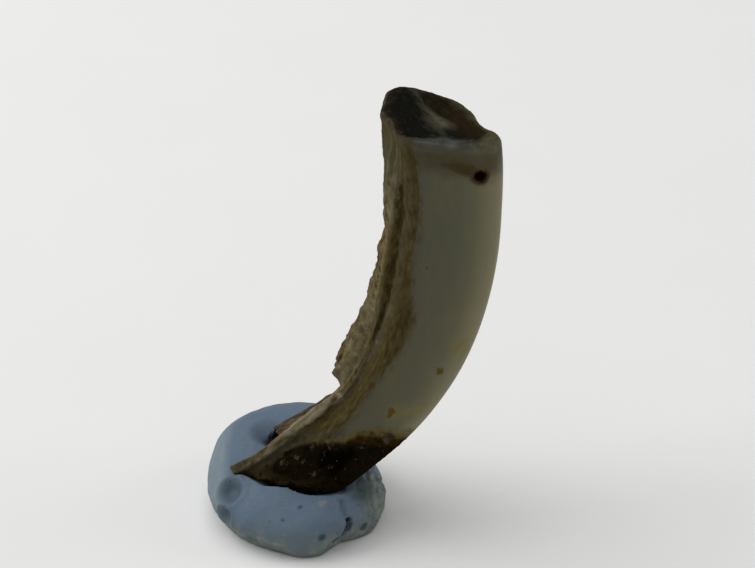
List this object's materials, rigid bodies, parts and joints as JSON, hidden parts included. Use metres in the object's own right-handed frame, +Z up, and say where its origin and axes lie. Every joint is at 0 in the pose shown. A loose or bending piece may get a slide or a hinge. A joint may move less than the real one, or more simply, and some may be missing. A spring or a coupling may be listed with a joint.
{
  "type": "wombat cheek tooth",
  "caption": "Long curved wombat cheek tooth with a worn, lobed crown and an open, stained growing end, stood upright in a pressed lump of blue-grey putty.",
  "frame": {"origin": "middle of the putty's flat underside", "axes": "+Z up, from the putty to the worn crown; +X the way the tooth leans; +Y from the smooth enamel face to the far lobe"},
  "size_m": [0.0238, 0.0162, 0.0367],
  "materials": {
    "tooth": "satin grey-cream enamel with matt tan cement, brown stains and a dark worn crown",
    "putty": "matt blue-grey putty with finger marks and some dirt"
  },
  "bodies": {
    "root": {"tooth": "tooth", "putty": "putty"}
  },
  "joints": []
}
